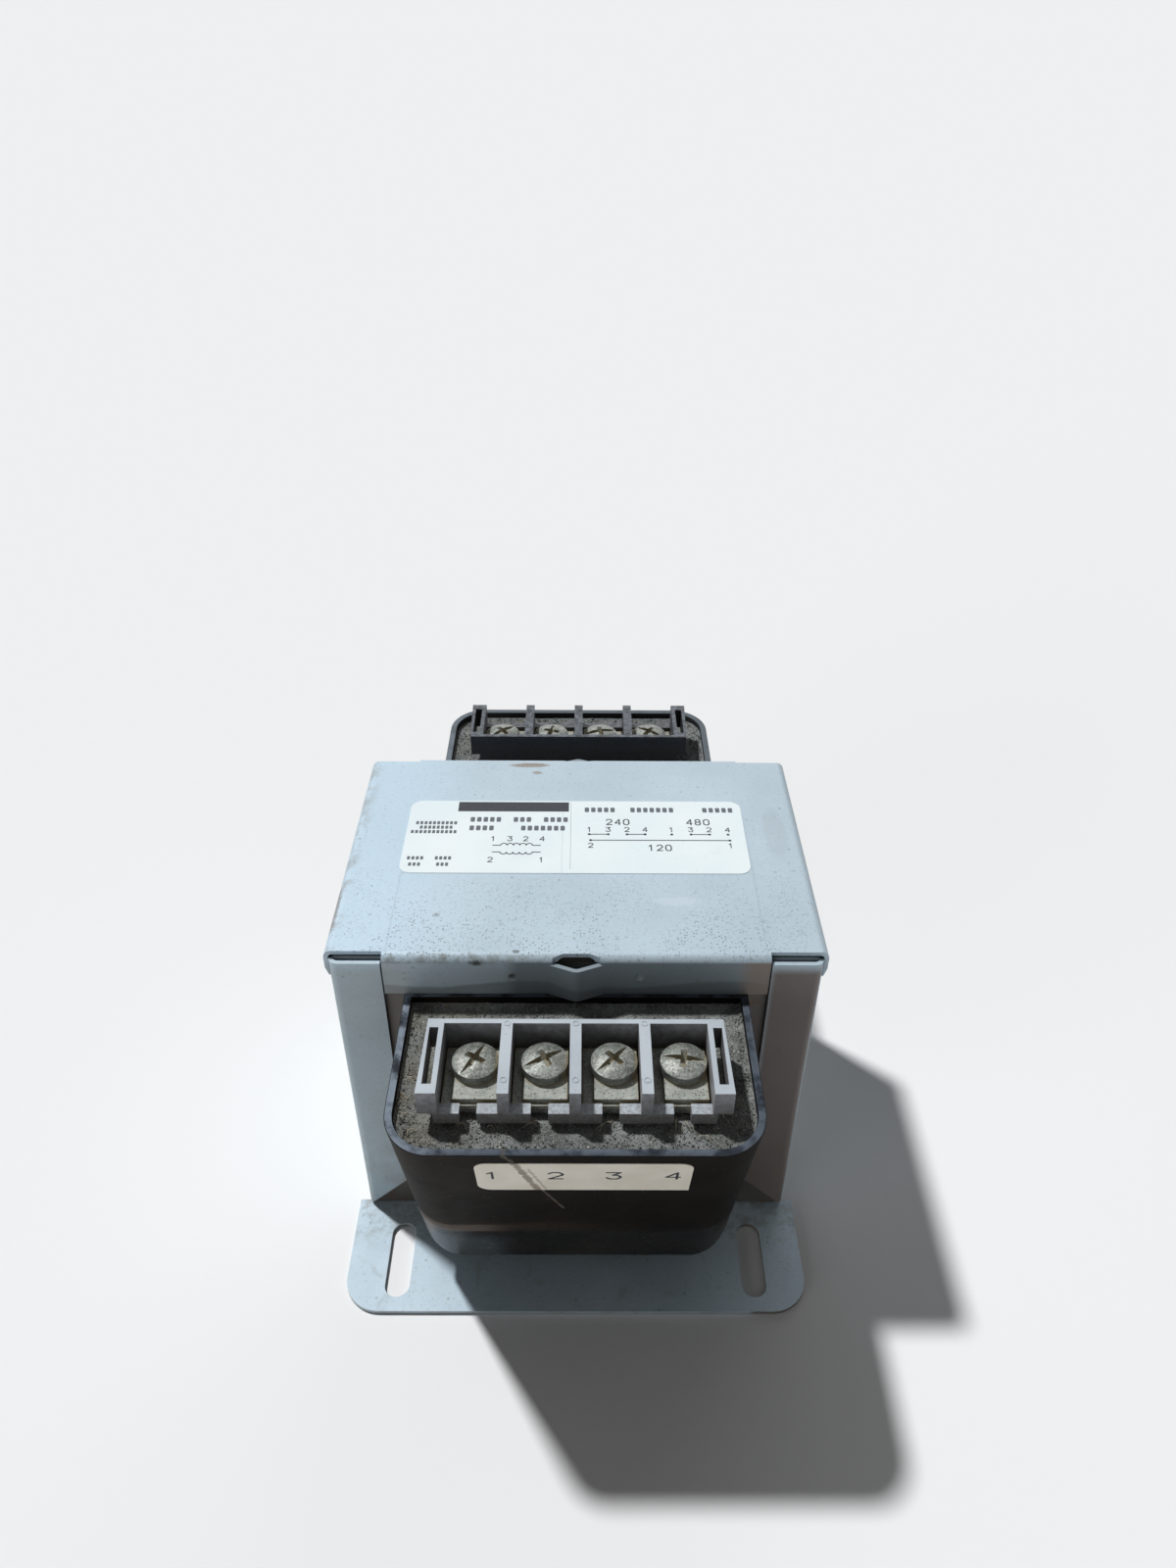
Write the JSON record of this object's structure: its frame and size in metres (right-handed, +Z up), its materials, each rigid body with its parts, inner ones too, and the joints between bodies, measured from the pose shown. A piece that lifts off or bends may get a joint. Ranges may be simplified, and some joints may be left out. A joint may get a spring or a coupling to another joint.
{
  "type": "core and coil transformer",
  "caption": "Control transformer with a laminated core in a folded sheet frame, a slotted base, potted winding heads in plastic shells and screw terminal blocks on two faces.",
  "frame": {"origin": "on the mounting plane, under the middle of the core: the middle of the underside of the box", "axes": "+Z up out of the mounting plane; the secondary terminals face -Y and the primary terminals face +Y; X runs across the core laminations"},
  "size_m": [0.1022, 0.144, 0.0827],
  "materials": {
    "zinc_sheet": "zinc-coated sheet, dull blue-grey, dusty",
    "core_steel": "varnished silicon-steel laminations",
    "bobbin_nylon": "natural glass-filled nylon",
    "copper_wire": "enamelled copper wire under varnish",
    "insulation_paper": "varnished insulation paper",
    "black_plastic": "satin black moulding with brown dust",
    "potting_compound": "sand-filled potting, grey-brown and granular, covered in dust",
    "grey_plastic": "satin light grey moulding",
    "lead_wire": "sleeved winding lead",
    "terminal_metal": "zinc-plated steel, dull and dusty",
    "screw_metal": "zinc-plated steel, dull and dusty"
  },
  "bodies": {
    "frame": {"base_bracket": "zinc_sheet", "top_cover": "zinc_sheet", "core_e_stack": "core_steel", "core_i_stack": "core_steel", "coil_bobbin": "bobbin_nylon", "primary_winding": "copper_wire", "winding_barrier": "insulation_paper", "secondary_winding": "copper_wire", "coil_wrap": "insulation_paper", "secondary_shell": "black_plastic", "secondary_compound": "potting_compound", "secondary_terminal_block": "grey_plastic", "secondary_lead_1": "lead_wire", "secondary_lead_2": "lead_wire", "secondary_terminal_1": "terminal_metal", "secondary_terminal_2": "terminal_metal", "secondary_terminal_3": "terminal_metal", "secondary_terminal_4": "terminal_metal", "primary_shell": "black_plastic", "primary_compound": "potting_compound", "primary_terminal_block": "black_plastic", "primary_lead_1": "lead_wire", "primary_lead_2": "lead_wire", "primary_lead_3": "lead_wire", "primary_lead_4": "lead_wire", "primary_terminal_1": "terminal_metal", "primary_terminal_2": "terminal_metal", "primary_terminal_3": "terminal_metal", "primary_terminal_4": "terminal_metal"},
    "secondary_clamp_1": {"secondary_clamp_plate_1": "terminal_metal"},
    "secondary_screw_1": {"secondary_screw_1": "screw_metal"},
    "secondary_clamp_2": {"secondary_clamp_plate_2": "terminal_metal"},
    "secondary_screw_2": {"secondary_screw_2": "screw_metal"},
    "secondary_clamp_3": {"secondary_clamp_plate_3": "terminal_metal"},
    "secondary_screw_3": {"secondary_screw_3": "screw_metal"},
    "secondary_clamp_4": {"secondary_clamp_plate_4": "terminal_metal"},
    "secondary_screw_4": {"secondary_screw_4": "screw_metal"},
    "primary_clamp_1": {"primary_clamp_plate_1": "terminal_metal"},
    "primary_screw_1": {"primary_screw_1": "screw_metal"},
    "primary_clamp_2": {"primary_clamp_plate_2": "terminal_metal"},
    "primary_screw_2": {"primary_screw_2": "screw_metal"},
    "primary_clamp_3": {"primary_clamp_plate_3": "terminal_metal"},
    "primary_screw_3": {"primary_screw_3": "screw_metal"},
    "primary_clamp_4": {"primary_clamp_plate_4": "terminal_metal"},
    "primary_screw_4": {"primary_screw_4": "screw_metal"}
  },
  "joints": [
    {"name": "secondary_clamp_1_lift", "type": "slide", "parent": "frame", "child": "secondary_clamp_1", "axis": [0, 0, 1], "range_m": [0, 0.00397]},
    {"name": "secondary_screw_1_turn", "type": "hinge", "parent": "secondary_clamp_1", "child": "secondary_screw_1", "pos_m": [-0.01835, -0.0543, 0.0747], "axis": [0, 0, 1], "range_deg": [0, 1800]},
    {"name": "secondary_clamp_2_lift", "type": "slide", "parent": "frame", "child": "secondary_clamp_2", "axis": [0, 0, 1], "range_m": [0, 0.00397]},
    {"name": "secondary_screw_2_turn", "type": "hinge", "parent": "secondary_clamp_2", "child": "secondary_screw_2", "pos_m": [-0.00565, -0.0543, 0.0747], "axis": [0, 0, 1], "range_deg": [0, 1800]},
    {"name": "secondary_clamp_3_lift", "type": "slide", "parent": "frame", "child": "secondary_clamp_3", "axis": [0, 0, 1], "range_m": [0, 0.00397]},
    {"name": "secondary_screw_3_turn", "type": "hinge", "parent": "secondary_clamp_3", "child": "secondary_screw_3", "pos_m": [0.00705, -0.0543, 0.0747], "axis": [0, 0, 1], "range_deg": [0, 1800]},
    {"name": "secondary_clamp_4_lift", "type": "slide", "parent": "frame", "child": "secondary_clamp_4", "axis": [0, 0, 1], "range_m": [0, 0.00397]},
    {"name": "secondary_screw_4_turn", "type": "hinge", "parent": "secondary_clamp_4", "child": "secondary_screw_4", "pos_m": [0.01975, -0.0543, 0.0747], "axis": [0, 0, 1], "range_deg": [0, 1800]},
    {"name": "primary_clamp_1_lift", "type": "slide", "parent": "frame", "child": "primary_clamp_1", "axis": [0, 0, 1], "range_m": [0, 0.00397]},
    {"name": "primary_screw_1_turn", "type": "hinge", "parent": "primary_clamp_1", "child": "primary_screw_1", "pos_m": [0.01835, 0.0543, 0.0747], "axis": [0, 0, 1], "range_deg": [0, 1800]},
    {"name": "primary_clamp_2_lift", "type": "slide", "parent": "frame", "child": "primary_clamp_2", "axis": [0, 0, 1], "range_m": [0, 0.00397]},
    {"name": "primary_screw_2_turn", "type": "hinge", "parent": "primary_clamp_2", "child": "primary_screw_2", "pos_m": [0.00565, 0.0543, 0.0747], "axis": [0, 0, 1], "range_deg": [0, 1800]},
    {"name": "primary_clamp_3_lift", "type": "slide", "parent": "frame", "child": "primary_clamp_3", "axis": [0, 0, 1], "range_m": [0, 0.00397]},
    {"name": "primary_screw_3_turn", "type": "hinge", "parent": "primary_clamp_3", "child": "primary_screw_3", "pos_m": [-0.00705, 0.0543, 0.0747], "axis": [0, 0, 1], "range_deg": [0, 1800]},
    {"name": "primary_clamp_4_lift", "type": "slide", "parent": "frame", "child": "primary_clamp_4", "axis": [0, 0, 1], "range_m": [0, 0.00397]},
    {"name": "primary_screw_4_turn", "type": "hinge", "parent": "primary_clamp_4", "child": "primary_screw_4", "pos_m": [-0.01975, 0.0543, 0.0747], "axis": [0, 0, 1], "range_deg": [0, 1800]}
  ],
  "couplings": [
    {"joint": "secondary_screw_1_turn", "follows": "secondary_clamp_1_lift", "rad_per_m": 7915.8},
    {"joint": "secondary_screw_2_turn", "follows": "secondary_clamp_2_lift", "rad_per_m": 7915.8},
    {"joint": "secondary_screw_3_turn", "follows": "secondary_clamp_3_lift", "rad_per_m": 7915.8},
    {"joint": "secondary_screw_4_turn", "follows": "secondary_clamp_4_lift", "rad_per_m": 7915.8},
    {"joint": "primary_screw_1_turn", "follows": "primary_clamp_1_lift", "rad_per_m": 7915.8},
    {"joint": "primary_screw_2_turn", "follows": "primary_clamp_2_lift", "rad_per_m": 7915.8},
    {"joint": "primary_screw_3_turn", "follows": "primary_clamp_3_lift", "rad_per_m": 7915.8},
    {"joint": "primary_screw_4_turn", "follows": "primary_clamp_4_lift", "rad_per_m": 7915.8}
  ]
}
